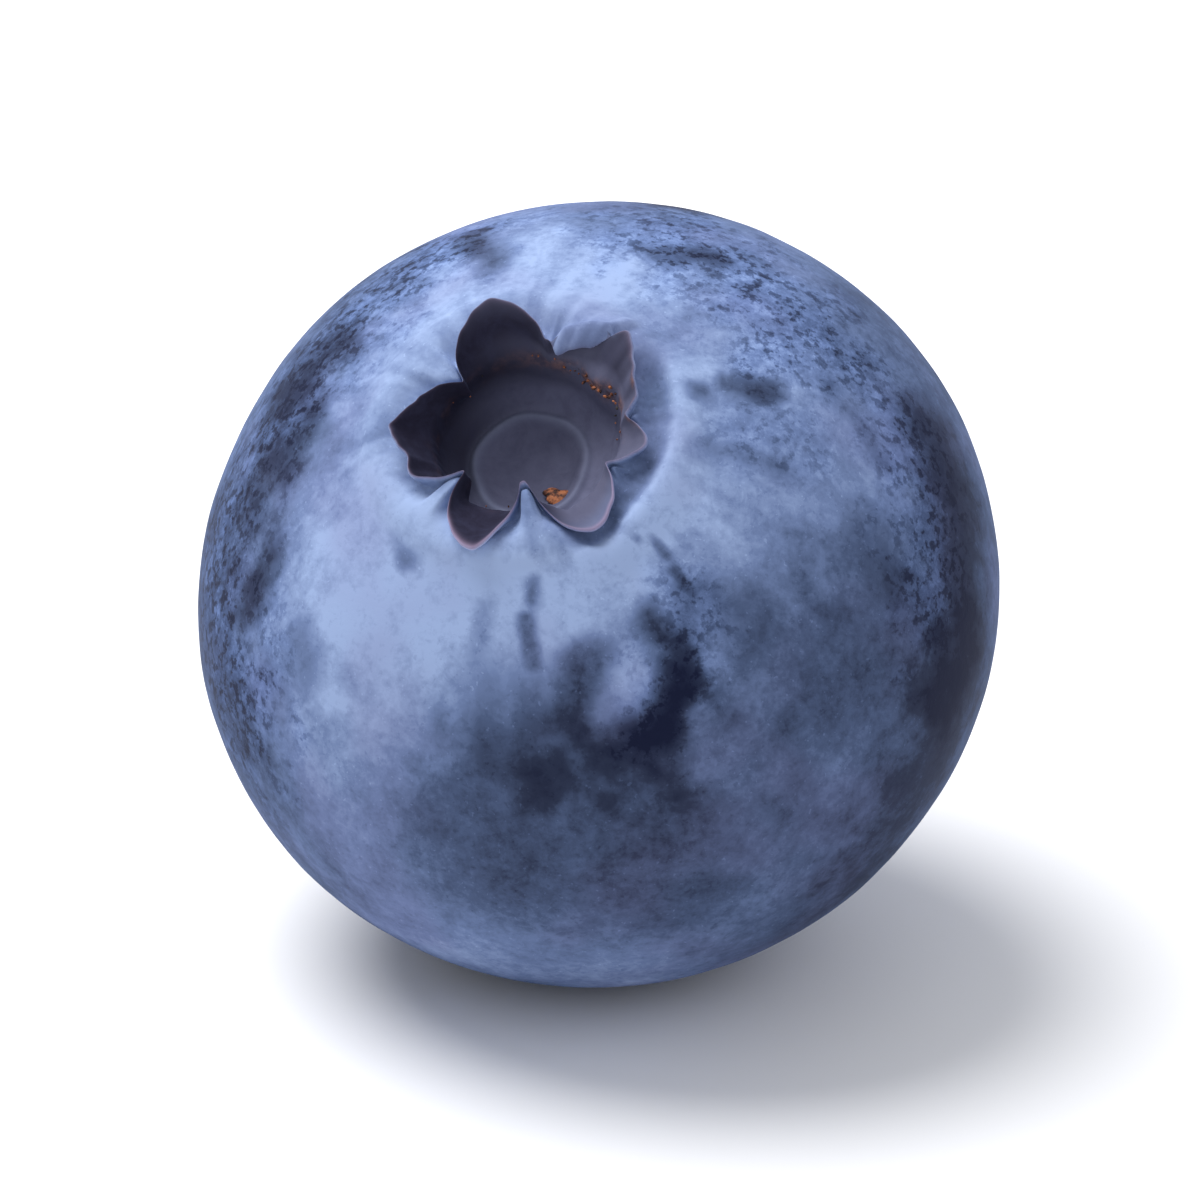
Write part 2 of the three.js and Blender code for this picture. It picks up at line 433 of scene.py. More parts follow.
# %% [markdown]
# Two turns bring the berry to the way it lies: its axis leans over, then swings round. The lowest
# point of the leaning body goes over the origin, and the flat under it is as wide as it must be
# for the middle of the weight to lie above it.

# %% Tip it the way it lies
tilt = np.array(
    [
        [math.cos(CROWN_TILT), 0, math.sin(CROWN_TILT)],
        [0, 1, 0],
        [-math.sin(CROWN_TILT), 0, math.cos(CROWN_TILT)],
    ]
)
heading = np.array(
    [
        [math.cos(CROWN_HEADING), -math.sin(CROWN_HEADING), 0],
        [math.sin(CROWN_HEADING), math.cos(CROWN_HEADING), 0],
        [0, 0, 1],
    ]
)
pose = heading @ tilt
axis = pose @ np.array([0, 0, 1])
flattening = BERRY_RADIUS**2 - POLE_HEIGHT**2
lowest = np.array([0, 0, -(BERRY_RADIUS**2)]) + axis * axis[2] * flattening
lowest /= math.sqrt(-lowest[2])
flat_radius = math.hypot(lowest[0], lowest[1]) + REST_MARGIN
middle = -lowest - np.array([0, 0, flat_radius**2 / (2 * BERRY_RADIUS)])


def lie(points):
    """From the berry's own axis to the way it lies on the ground, in metres."""
    return (points @ pose.T + middle) * MM


world = lie(place)
world[:, 2] = np.maximum(world[:, 2], 0)
print("middle of the berry, mm:", [round(v, 2) for v in middle])

# %% [markdown]
# ## Where the bloom is thick and where it is wiped
#
# The bloom is a powder of wax. It is thickest round the crown, thins towards the stem end, and
# anything that brushes the berry leaves a dark mark: a finger, a leaf, the next berry in the
# box. The marks are drawn here as strokes on the skin, each a path of (azimuth, polar angle)
# stations with a width, and saved on every point of the net for the material to read.


# %% Strokes on the skin
def on_skin(azimuth_deg, polar_deg):
    a, p = math.radians(azimuth_deg), math.radians(polar_deg)
    r = BERRY_RADIUS * math.sin(p)
    return np.array([r * math.cos(a), r * math.sin(a), POLE_HEIGHT * math.cos(p)])


ragged = drift(place, 0.9, 5, 3)
ragged_wide = drift(place, 3.0, 6, 3)


def stroke(path, width, ragged_share=0.5):
    """1 along the path, fading to 0 beyond its width, with a torn edge."""
    stations = [on_skin(*s) for s in path]
    if len(stations) == 1:
        stations = stations * 2
    nearest = np.full(len(place), 1e9)
    for a, b in zip(stations, stations[1:]):
        along = b - a
        share = np.clip(((place - a) @ along) / max(along @ along, 1e-9), 0, 1)
        gap = np.linalg.norm(place - (a + share[:, None] * along), axis=1)
        nearest = np.minimum(nearest, gap)
    return 1 - smooth(nearest + ragged * width * ragged_share, 0, 1.7 * width)


# %% [markdown]
# Each mark is a path, a width in millimetres and a strength. Wiped marks are nearly bare skin.
# Thick ones add a little wax and thin ones take a little away, as uneven growth does, except the
# last thin one, which is painted shade along the lower right edge. Speckled ones are where the wax
# has broken into grains.

# %% The marks on this berry
WIPED = [
    ([(117, 26), (117, 27)], 0.26, 0.75),
    ([(120, 31), (118, 35), (118, 38)], 0.32, 0.85),
    ([(57, 23), (60, 26)], 0.12, 1.0),
    ([(64, 28), (63, 31)], 0.1, 0.7),
    ([(62, 33), (61, 36)], 0.12, 0.6),
    ([(60, 36), (56, 41)], 0.25, 0.3),
    ([(50, 36), (50, 40)], 0.34, 1.0),
    ([(51, 42), (48, 46), (43, 50), (36, 52)], 0.5, 0.95),
    ([(36, 52), (29, 51), (26, 46)], 0.8, 0.8),
    ([(31, 38), (28, 44)], 0.6, 0.9),
    ([(13, 43), (20, 50)], 1.4, 0.5),
    ([(24, 25), (22, 28)], 0.18, 0.9),
    ([(20, 30), (20, 36)], 0.24, 0.9),
    ([(8, 28), (7, 36)], 0.3, 0.4),
    ([(331, 22), (336, 24)], 0.32, 0.85),
    ([(303, 44), (306, 49)], 0.5, 0.55),
    ([(308, 51), (307, 55)], 0.4, 0.5),
    ([(322, 46), (327, 48)], 0.5, 0.35),
    ([(277, 34), (282, 42)], 0.7, 0.6),
    ([(255, 38), (264, 44)], 0.9, 0.5),
    ([(208, 33), (213, 45)], 0.45, 0.8),
    ([(168, 38), (160, 44)], 0.42, 0.7),
    ([(150, 40), (147, 44)], 0.25, 0.25),
    ([(120, 48), (113, 52), (108, 56)], 0.3, 0.35),
    ([(94, 56), (90, 62)], 0.7, 0.3),
    ([(67, 43), (64, 48)], 0.6, 0.2),
    ([(97, 28), (99, 38)], 0.45, 0.35),
    ([(118, 68), (108, 74), (98, 80), (84, 84)], 1.0, 0.5),
    ([(210, 80), (232, 96)], 1.6, 0.6),
    ([(180, 66), (192, 74), (190, 84)], 0.8, 0.75),
    ([(150, 100), (166, 118)], 1.4, 0.6),
    ([(250, 108), (276, 118)], 1.2, 0.65),
]
THICK = [
    ([(180, 27), (205, 32)], 1.8, 0.16),
    ([(335, 31), (352, 37)], 2.3, 0.26),
    ([(312, 22), (322, 26)], 1.0, 0.16),
    ([(290, 21), (320, 20), (350, 20)], 0.6, 0.12),
    ([(10, 22), (345, 20)], 1.2, 0.18),
    ([(74, 28), (76, 36)], 0.8, 0.16),
    ([(50, 30), (40, 32), (20, 30), (0, 28)], 1.0, 0.16),
    ([(41, 42), (40, 45)], 0.5, 0.2),
    ([(118, 54), (106, 58)], 1.5, 0.12),
    ([(338, 60), (342, 68)], 1.8, 0.12),
    ([(355, 98), (14, 100)], 2.6, 0.24),
    ([(225, 130), (260, 140)], 2.5, 0.2),
]
THIN_AND_SHADED = [
    ([(8, 64), (20, 66), (34, 67)], 2.3, 0.16),
    ([(235, 42), (262, 42), (292, 46)], 1.8, 0.22),
    ([(286, 60), (304, 66)], 2.0, 0.16),
    ([(12, 54), (24, 56), (33, 58)], 1.4, 0.15),
    ([(50, 51), (44, 54)], 0.8, 0.12),
    ([(18, 76), (32, 80)], 2.4, 0.04),
    ([(62, 40), (76, 44), (98, 46)], 1.3, 0.08),
    ([(68, 58), (76, 68), (82, 84), (66, 96)], 1.8, 0.2),
    ([(128, 56), (114, 70), (100, 80)], 1.4, 0.14),
    ([(200, 104), (250, 96)], 4.0, 0.22),
    # painted shade along the lower right edge, which lies in shadow
    ([(84, 92), (66, 101), (50, 108)], 1.6, 0.16),
]
SPECKLED = [
    ([(284, 56), (298, 60), (312, 66)], 2.2, 1.0),
    ([(222, 44), (248, 40), (270, 44)], 1.7, 1.0),
    ([(172, 46), (150, 44), (132, 50)], 1.9, 0.9),
    ([(116, 60), (106, 68), (92, 74)], 1.6, 0.8),
    ([(58, 39), (52, 44), (38, 50)], 1.0, 0.6),
    ([(104, 34), (108, 42)], 1.0, 0.5),
    ([(130, 36), (128, 42)], 0.8, 0.8),
    ([(205, 70), (230, 80)], 2.5, 0.8),
    ([(140, 108), (180, 112)], 2.6, 0.8),
]
print(len(WIPED), "wiped,", len(THICK), "thick,", len(THIN_AND_SHADED), "thin,", len(SPECKLED), "speckled")

# %% [markdown]
# The bloom starts from one even coat, thicker near the crown and faintly streaked down from it.
# Then every mark adds or takes away its own share.

# %% Lay the bloom on
streaks = np.array(
    [
        noise.fractal(Vector((9 * math.cos(a), 9 * math.sin(a), p / 26)), 1.0, 2.2, 4)
        for a, p in zip(np.radians(azimuth_of), polar_of)
    ]
)
near_crown = 1 - smooth(polar_of, 30, 74)
bloom = 0.56 + 0.24 * near_crown + 0.12 * ragged_wide
bloom += 0.1 * streaks * near_crown
for path, width, amount in THICK:
    bloom += amount * stroke(path, width)
for path, width, amount in THIN_AND_SHADED:
    bloom -= amount * stroke(path, width)
wiped = np.zeros(len(place))
for path, width, amount in WIPED:
    wiped = np.maximum(wiped, amount * stroke(path, width, 0.6))
speckled = 0.12 + np.zeros(len(place))
for path, width, amount in SPECKLED:
    speckled = np.maximum(speckled, amount * stroke(path, width, 0.6))
print("bloom from", round(float(bloom.min()), 2), "to", round(float(bloom.max()), 2))

# %% [markdown]
# Inside the crown the skin has no bloom: it is dark and papery, with rusty scars. These shares
# are kept apart: one for the inside of the cup and lobes, which lets paler colour through on the
# front lobe's inner face as painted light; one for the dry edges, raised on the near side as a
# painted highlight; one for the rust of old flower and stalk scars; one for the floor of the cup,
# which also paints light on the lit wall and shade on the far wall; and one for its low ridge.
# The moat and crest on the open side get painted shade and a painted highlight in the bloom.

# %% Shares for the crown and the stem scar
point_rows = np.cumsum([0] + ROWS_BETWEEN)
ridge_row, wall_row, root_row, edge_row = (int(point_rows[k]) for k in (3, 6, 7, 10))
moat_row, crest_row = int(point_rows[15]), int(point_rows[16])


def near_row(row, spread):
    return np.exp(-(((row_of - row) / spread) ** 2))


def round_about(middle_azimuth, spread):
    """1 at one azimuth, fading away on both sides of it."""
    away = (azimuth_of - middle_azimuth + 180) % 360 - 180
    return np.exp(-((away / spread) ** 2))


wide_of = np.interp(azimuth_of, azimuth, wide, period=360)
fold_of = np.interp(azimuth_of, azimuth, fold, period=360)
inside = 1 - smooth(row_of, edge_row - 1, edge_row + 2)
inside *= 1 - fold_of * smooth(row_of, edge_row - 7, edge_row - 4)
# Painted light: the front lobe's inner face turns paler towards its edge, where light falls on it.
inside *= 1 - 0.3 * round_about(58, 12) * smooth(row_of, root_row + 5, edge_row - 4)
# The dry edges are pale all round; on the near side they are paler still, as a painted highlight.
highlight_side = np.maximum(round_about(5, 40), round_about(60, 24))
rim = near_row(edge_row + 0.5, 2.4) * (0.3 + 0.7 * highlight_side)
cup_floor = 1 - smooth(row_of, wall_row - 8, wall_row + 4)
cup_floor = np.maximum(cup_floor, 0.5 * np.maximum(wide_of, round_about(158, 22)))
cup_floor *= 0.82 + 0.18 * smooth(row_of, ridge_row - 4, ridge_row + 2)
# Painted light: the cup's wall on the lit side takes the pale floor colour.
lit_wall = smooth(row_of, ridge_row, ridge_row + 6)
lit_wall *= 1 - smooth(row_of, root_row + 2, root_row + 9)
cup_floor = np.maximum(cup_floor, 0.7 * lit_wall * round_about(140, 60))
# Painted shade: on the shaded side the wall above the ridge loses the pale colour.
cup_floor *= 1 - 0.85 * round_about(272, 56) * smooth(row_of, ridge_row - 2, ridge_row + 6)
pale_tip = round_about(206, 18) * smooth(row_of, root_row + 8, edge_row + 2)
cup_floor = np.maximum(cup_floor, 0.35 * pale_tip)
ridge = near_row(ridge_row, 2.6) * (1 - 0.4 * round_about(90, 60))
crumbs = drift(place, 0.4, 8, 3)
rusty_ledge = near_row(root_row - 2, 2.8) * smooth(crumbs, -0.2, 0.4)
rusty_teeth = near_row(edge_row - 2, 3) * smooth(crumbs, -0.2, 0.3)
rust = rusty_ledge * (0.1 + 0.9 * round_about(RUSTY_SIDE, 40))
rust = np.maximum(rust, rusty_teeth * round_about(112, 12))

first_stem_row = len(crown_rows) + len(skin_rows)
stem_scar = smooth(row_of, first_stem_row + 9, first_stem_row + 12)
rust = np.clip(rust + stem_scar, 0, 1)
bloom -= 0.55 * near_row(first_stem_row + 11, 2.5)
bloom += 0.3 * smooth(row_of, first_stem_row - 8, first_stem_row + 4) * (1 - stem_scar)
# Painted shade and highlight: the bloom is darker in the moat on the open side, which lies in shade,
# and paler along the crest beyond it, which catches the light.
moat = smooth(row_of, edge_row + 4, edge_row + 12)
moat *= 1 - smooth(row_of, crest_row - 7, crest_row - 1)
bloom -= (0.12 + 0.1 * round_about(74, 26)) * moat * wide_of
bloom += 0.18 * near_row(crest_row, 5) * wide_of
on_body = smooth(row_of, crest_row - 3, crest_row + 3)
wiped *= on_body
speckled *= on_body
print("rusty points:", int((rust > 0.5).sum()), "of", len(place))

# %% [markdown]
# The points now become a mesh: quads between one row and the next, and a fan of triangles to the
# single point at either end, so that the skin is closed. Each share goes along as an attribute.

# %% Join the points into faces
lines = np.arange(len(rows) * AROUND).reshape(len(rows), AROUND) + 1
following = np.roll(lines, -1, axis=1)
quads = np.stack([lines[:-1], lines[1:], following[1:], following[:-1]], axis=2).reshape(-1, 4)
top_fan = [(0, int(a), int(b)) for a, b in zip(lines[0], following[0])]
last_point = len(place) - 1
stem_fan = [(int(a), last_point, int(b)) for a, b in zip(lines[-1], following[-1])]

print(len(quads), "quads and", len(top_fan) + len(stem_fan), "triangles")

# %% Make the skin a mesh
skin_mesh = bpy.data.meshes.new("berry_skin")
skin_mesh.from_pydata(world.tolist(), [], top_fan + quads.tolist() + stem_fan)
skin_mesh.polygons.foreach_set("use_smooth", [True] * len(skin_mesh.polygons))
for name, values in dict(
    bloom=bloom,
    wiped=wiped,
    speckled=speckled,
    inside=inside,
    rim=rim,
    rust=rust,
    cup_floor=cup_floor,
    ridge=ridge,
).items():
    layer = skin_mesh.attributes.new(name, "FLOAT", "POINT")
    layer.data.foreach_set("value", np.clip(values, 0, 1).astype(np.float32))
skin_mesh.validate()

berry_skin = bpy.data.objects.new("berry_skin", skin_mesh)
scene.collection.objects.link(berry_skin)
skin_mesh.calc_loop_triangles()
print("skin triangles:", len(skin_mesh.loop_triangles))

# %% [markdown]
# ## Writing materials as sums
#
# A material is a graph of nodes, which soon becomes hard to read as code. `Wire` wraps one
# socket so that masks can be written as ordinary sums: `1 - mask * 2` adds its own Math nodes.
# `Paint` holds one material and makes every other kind of node.


# %% Shader helpers
class Wire:
    def __init__(self, paint, socket):
        self.paint, self.socket = paint, socket

    def _sum(self, operation, first, second):
        return self.paint.add("ShaderNodeMath", dict(operation=operation), {0: first, 1: second})

    def __add__(self, other):
        return self._sum("ADD", self, other)

    def __radd__(self, other):
        return self._sum("ADD", other, self)

    def __sub__(self, other):
        return self._sum("SUBTRACT", self, other)

    def __rsub__(self, other):
        return self._sum("SUBTRACT", other, self)

    def __mul__(self, other):
        return self._sum("MULTIPLY", self, other)

    def __rmul__(self, other):
        return self._sum("MULTIPLY", other, self)

    def ramp(self, low, high):
        """0 below low, 1 above high, smooth between them."""
        return self.paint.add(
            "ShaderNodeMapRange",
            dict(interpolation_type="SMOOTHSTEP", clamp=True),
            {"Value": self, "From Min": low, "From Max": high},
        )


class Paint:
    def __init__(self, name):
        self.material = bpy.data.materials.new(name)
        self.material.use_nodes = True
        self.tree = self.material.node_tree
        self.shader = self.tree.nodes["Principled BSDF"]

    def add(self, kind, settings=None, inputs=None, output=0):
        node = self.tree.nodes.new(kind)
        for name, value in (settings or {}).items():
            if name == "stops":
                stops = node.color_ramp.elements
                while len(stops) < len(value):
                    stops.new(0.5)
                for stop, (position, colour) in zip(stops, value):
                    stop.position, stop.color = position, (*colour, 1)
            else:
                setattr(node, name, value)
        self.feed(node, inputs or {})
        return Wire(self, node.outputs[output])

    def feed(self, node, inputs):
        for key, value in inputs.items():
            if isinstance(value, Wire):
                self.tree.links.new(value.socket, node.inputs[key])
            else:
                node.inputs[key].default_value = value

    def share(self, name):
        return self.add("ShaderNodeAttribute", dict(attribute_name=name), output="Fac")

    def blotches(self, place, blotch_mm, detail=3.0, roughness=0.55, warp=0.0):
        return self.add(
            "ShaderNodeTexNoise",
            dict(noise_dimensions="3D"),
            {
                "Vector": place,
                "Scale": 1 / blotch_mm,
                "Detail": detail,
                "Roughness": roughness,
                "Distortion": warp,
            },
        )

    def blend(self, share, first, second, how="MIX"):
        return self.add(
            "ShaderNodeMix",
            dict(data_type="RGBA", blend_type=how, clamp_factor=True),
            {0: share, 6: first, 7: second},
            output=2,
        )

    def finish(self, **sockets):
        self.feed(self.shader, {name.replace("_", " "): value for name, value in sockets.items()})
        return self.material


def rgb(red, green, blue):
    """A colour as seen on a screen, from 0 to 255, made linear for the shader."""
    line = [c / 255 for c in (red, green, blue)]
    return tuple(c / 12.92 if c <= 0.04045 else ((c + 0.055) / 1.055) ** 2.4 for c in line)


# %% [markdown]
# ## The skin's finish
#
# Under the wax the skin is nearly black, with a violet cast. The wax scatters blue light back, so
# a thin coat is navy, a thicker one slate blue, and the thickest a pale periwinkle. One thickness
# value, built from the strokes, clouds, fine mottling and tiny specks, picks the colour, and the
# same value sets how dull the surface is. That value also carries painted shade, in the crown's
# moat and along the lower right edge, and a painted highlight along the moat's crest.

# %% Textures of the skin
skin = Paint("bloomed_skin")
place_mm = skin.add(
    "ShaderNodeVectorMath",
    dict(operation="SCALE"),
    {0: skin.add("ShaderNodeTexCoord", output="Object"), "Scale": 1 / MM},
)

clouds = skin.blotches(place_mm, 1.9, 4, 0.6, 0.3)
mottle = skin.blotches(place_mm, 0.6, 6, 0.68, 0.4)
flakes = skin.blotches(place_mm, 0.45, 5, 0.62, 0.8).ramp(0.46, 0.55)
grain = skin.blotches(place_mm, 0.2, 4, 0.7)
pits = skin.blotches(place_mm, 0.26, 3, 0.62).ramp(0.5, 0.62)
few_pits = skin.blotches(place_mm, 0.16, 2, 0.5).ramp(0.66, 0.72)
dust = skin.blotches(place_mm, 0.11, 1, 0.5).ramp(0.7, 0.76)
print("textures:", sum(node.type == "TEX_NOISE" for node in skin.tree.nodes))

# %% How thick the wax is, with painted shade and highlight
wax_and_painted_light = skin.share("bloom")
speckle_zone = skin.share("speckled")
rubbed = skin.share("wiped") * (1 + (mottle - 0.5) * 1.2 + (grain - 0.5) * 1.2)
wax_depth_and_painted_light = (
    wax_and_painted_light
    + (clouds - 0.5) * 0.26
    + (mottle - 0.5) * (0.3 + speckle_zone * 0.5)
    + (grain - 0.5) * (0.17 + speckle_zone * 0.5)
    - pits * speckle_zone * 0.35
    - few_pits * 0.06
    + dust * 0.1
    + (flakes - 0.5) * (0.025 + speckle_zone * 0.06)
    - rubbed * 0.56
)
print("nodes so far:", len(skin.tree.nodes))

# %% [markdown]
# The ramp goes from bare skin to the thickest wax. A little violet comes through in wide, soft
# patches, and where the wax is speckled it looks slightly colder.

# %% Colour of the wax
wax_colour = skin.add(
    "ShaderNodeValToRGB",
    dict(
        stops=[
            (0.0, rgb(12, 19, 44)),
            (0.25, rgb(38, 46, 68)),
            (0.5, rgb(71, 85, 115)),
            (0.75, rgb(105, 122, 159)),
            (1.0, rgb(144, 162, 197)),
        ]
    ),
    {0: wax_depth_and_painted_light},
)
violet = skin.blotches(place_mm, 3.2, 2, 0.5).ramp(0.45, 0.7) * wax_depth_and_painted_light * 0.25
wax_colour = skin.blend(violet, wax_colour, (*rgb(112, 108, 148), 1))
wax_colour = skin.blend(speckle_zone * 0.5, wax_colour, (0.72, 0.86, 1.1, 1), "MULTIPLY")

print("nodes so far:", len(skin.tree.nodes))

# %% [markdown]
# Inside the crown there is no wax, so its colour is mixed apart and laid over the skin's: dark
# tissue, paler on the floor and the ridge, with pale dry edges and the rust of old scars. The pale
# floor colour is also painted light on the cup's lit wall, the dark colour on its shaded wall is
# painted shade, and the dry edges carry a painted highlight on the near side.

# %% Colour inside the crown
inside_with_painted_light_share = skin.share("inside")
floor_and_painted_light_share = skin.share("cup_floor")
# Pale on the floor and, as painted light, on the lit wall; dark elsewhere, which on the shaded wall
# is painted shade.
inside_colour = skin.blend(floor_and_painted_light_share, (*rgb(32, 30, 46), 1), (*rgb(112, 114, 140), 1))
inside_colour = skin.blend(mottle.ramp(0.35, 0.75) * 0.35, inside_colour, (*rgb(58, 60, 84), 1))
inside_colour = skin.blend(skin.share("ridge") * 0.3, inside_colour, (*rgb(134, 144, 168), 1))
colour = skin.blend(inside_with_painted_light_share, wax_colour, inside_colour)
# Pale dry edges, brightened on the near side as a painted highlight.
colour = skin.blend(skin.share("rim") * 0.7, colour, (*rgb(150, 132, 158), 1))
rust_share = skin.share("rust")
rust_colour = skin.blend(grain.ramp(0.35, 0.65), (*rgb(72, 48, 46), 1), (*rgb(150, 106, 88), 1))
colour = skin.blend(rust_share * 0.85, colour, rust_colour)
print("nodes so far:", len(skin.tree.nodes))

# %% [markdown]
# Wax is dull and slightly powdery, so the surface is rough, roughest where the wax is thick, with
# a trace of sheen and hardly any gloss. A very low bump gives it grain.

# %% Finish of the skin
bump_height = grain * 0.35 + mottle * 0.5 - pits * speckle_zone * 0.15
bump = skin.add(
    "ShaderNodeBump",
    None,
    {"Height": bump_height, "Strength": 0.25, "Distance": 0.06 * MM},
)
roughness = 0.66 + wax_depth_and_painted_light.ramp(0.1, 0.8) * 0.2 + inside_with_painted_light_share * 0.1
skin.finish(
    Base_Color=colour,
    Roughness=roughness,
    Normal=bump,
    Sheen_Weight=0.05,
    Sheen_Roughness=0.4,
    Sheen_Tint=(*rgb(150, 176, 240), 1),
    Specular_IOR_Level=0.1,
)
skin_mesh.materials.append(skin.material)
print("nodes in the skin:", len(skin.tree.nodes))

# %% [markdown]
# ## The dried style
#
# On the floor of the cup stands the stump of the flower's style, a crumb of dry, orange-brown
# tissue. It is small, but it is the one warm spot in all that blue. A few rings of points, each
# a little out of round, make a knob that leans to one side.

# %% Model the dried style
STYLE_AROUND, STYLE_RINGS = 40, 22
STYLE_PLACE = (0.76, math.radians(58))  # from the axis, and round it
STYLE_RADIUS, STYLE_HEIGHT = 0.22, 0.34
STYLE_NARROW, STYLE_WIDE = 0.8, 1.4  # how far it is out of round
STYLE_LEAN = 0.1  # how far its top stands to one side

style_points, style_faces = [], []
style_turn = np.arange(STYLE_AROUND) * 2 * math.pi / STYLE_AROUND
foot = np.array(
    [
        STYLE_PLACE[0] * math.cos(STYLE_PLACE[1]),
        STYLE_PLACE[0] * math.sin(STYLE_PLACE[1]),
        crease_height - CUP_DEPTH - 0.06,
    ]
)
style_up = []
for ring in range(STYLE_RINGS):
    up = ring / (STYLE_RINGS - 1)
    style_up += [up] * STYLE_AROUND
    waist = 0.75 + 0.55 * smooth(up, 0.35, 0.7) - 0.25 * (1 - up)
    cap = math.sqrt(1 - max(0.0, (up - 0.72) / 0.285) ** 2)
    for angle in style_turn:
        lobed = 1 + 0.16 * math.sin(3 * angle + 2 * up) + 0.07 * math.sin(7 * angle + 9 * up)
        r = STYLE_RADIUS * waist * cap * lobed
        x = STYLE_NARROW * r * math.cos(angle) + STYLE_LEAN * up
        y = STYLE_WIDE * r * math.sin(angle)
        style_points.append(foot + np.array([x, y, STYLE_HEIGHT * up]))
style_points += [foot, foot + np.array([STYLE_LEAN, 0, STYLE_HEIGHT])]
for ring in range(STYLE_RINGS - 1):
    for k in range(STYLE_AROUND):
        a, b = ring * STYLE_AROUND + k, ring * STYLE_AROUND + (k + 1) % STYLE_AROUND
        style_faces.append((a, b, b + STYLE_AROUND, a + STYLE_AROUND))
bottom, top = len(style_points) - 2, len(style_points) - 1
for k in range(STYLE_AROUND):
    nxt = (k + 1) % STYLE_AROUND
    style_faces.append((bottom, nxt, k))
    last = (STYLE_RINGS - 1) * STYLE_AROUND
    style_faces.append((top, last + k, last + nxt))
print("points in the style:", len(style_points))

# %% Make the style a mesh
style_mesh = bpy.data.meshes.new("dried_style")
style_mesh.from_pydata(lie(np.array(style_points)).tolist(), [], style_faces)
up_layer = style_mesh.attributes.new("up", "FLOAT", "POINT")
up_layer.data.foreach_set("value", [*style_up, 0, 1])
style_mesh.polygons.foreach_set("use_smooth", [True] * len(style_mesh.polygons))
dried_style = bpy.data.objects.new("dried_style", style_mesh)
scene.collection.objects.link(dried_style)

# %% [markdown]
# Dry tissue is brown and fibrous, nearly black in patches and orange in others. Two noises and
# the height up the stump, added together, pick a colour from one ramp. The height is painted light:
# it makes the top of the stump orange as a painted highlight and its foot dark as painted shade.

# %% Dry tissue material
dry = Paint("dry_flower_tissue")
dry_place = dry.add(
    "ShaderNodeVectorMath",
    dict(operation="SCALE"),
    {0: dry.add("ShaderNodeTexCoord", output="Object"), "Scale": 1 / MM},
)
patches = dry.blotches(dry_place, 0.2, 3, 0.6)
fibre = dry.blotches(dry_place, 0.06, 2, 0.6)
dry_colour = dry.add(
    "ShaderNodeValToRGB",
    dict(stops=[(0.36, rgb(26, 16, 16)), (0.52, rgb(104, 56, 36)), (0.7, rgb(190, 116, 74))]),
    # the height up the stump paints a highlight on top and shade at the foot
    {0: patches * 1.5 + fibre * 0.4 + dry.share("up") * 0.35 - 0.72},
)
dry.finish(
    Base_Color=dry_colour,
    Roughness=0.6 + fibre * 0.2,
    Normal=dry.add("ShaderNodeBump", None, {"Height": fibre, "Strength": 0.5, "Distance": 0.04 * MM}),
)
style_mesh.materials.append(dry.material)
print("nodes in the dry tissue:", len(dry.tree.nodes))

# %% [markdown]
# ## Scars on the ledge
#
# The petals and stamens dropped from the ledge at the top of the cup wall, and crumbs of dry
# tissue stayed where they tore off. They repeat along a line, which is work for Geometry Nodes:
# the ledge becomes a curve, points are spread on it, some are picked by how dry the ledge is
# there, and each gets a tiny crumb, sized, turned and nudged at random from one fixed seed.

# %% Build the crumb tree
crumb_tree = bpy.data.node_groups.new("crumbs_on_a_line", "GeometryNodeTree")
crumb_tree.interface.new_socket("Line", in_out="INPUT", socket_type="NodeSocketGeometry")
crumb_sizes = dict(Count="Int", Smallest="Float", Largest="Float", Scatter="Float", Seed="Int")
for name, kind in crumb_sizes.items():
    crumb_tree.interface.new_socket(name, in_out="INPUT", socket_type="NodeSocket" + kind)
crumb_tree.interface.new_socket("Crumbs", in_out="OUTPUT", socket_type="NodeSocketGeometry")


def grow(kind, inputs=None, **settings):
    """One node of the crumb tree, with its settings and what feeds its sockets."""
    made = crumb_tree.nodes.new(kind)
    for name, value in settings.items():
        setattr(made, name, value)
    for key, value in (inputs or {}).items():
        if isinstance(value, bpy.types.NodeSocket):
            crumb_tree.links.new(value, made.inputs[key])
        else:
            made.inputs[key].default_value = value
    return made.outputs


# %% [markdown]
# The tree reads from top to bottom: first where the crumbs stand, then how each is sized and
# turned, then the crumb itself, and last the crumbs made real and given their dry tissue.

# %% Wire the crumb tree
FULL_TURN = 6.28  # radians

given = crumb_tree.nodes.new("NodeGroupInput").outputs
line = grow("GeometryNodeMeshToCurve", {"Mesh": given["Line"]})["Curve"]
line = grow("GeometryNodeResampleCurve", {"Curve": line, "Count": given["Count"]})["Curve"]
dryness = grow(
    "GeometryNodeInputNamedAttribute", {"Name": "dryness"}, data_type="FLOAT"
)["Attribute"]
luck = grow("FunctionNodeRandomValue", {"Seed": given["Seed"]}, data_type="FLOAT")[1]
picked = grow("ShaderNodeMath", {0: luck, 1: dryness}, operation="LESS_THAN")["Value"]
nudge = grow(
    "FunctionNodeRandomValue",
    {0: (-1, -1, -1), "Seed": given["Seed"]},
    data_type="FLOAT_VECTOR",
)[0]
nudge = grow(
    "ShaderNodeVectorMath", {0: nudge, "Scale": given["Scatter"]}, operation="SCALE"
)["Vector"]
spots = grow("GeometryNodeCurveToPoints", {"Curve": line}, mode="EVALUATED")["Points"]
spots = grow("GeometryNodeSetPosition", {"Geometry": spots, "Offset": nudge})["Geometry"]
span = grow(
    "FunctionNodeRandomValue",
    {2: given["Smallest"], 3: given["Largest"], "Seed": given["Seed"]},
    data_type="FLOAT",
)[1]
facing = grow(
    "FunctionNodeRandomValue",
    {1: (FULL_TURN, FULL_TURN, FULL_TURN), "Seed": given["Seed"]},
    data_type="FLOAT_VECTOR",
)[0]
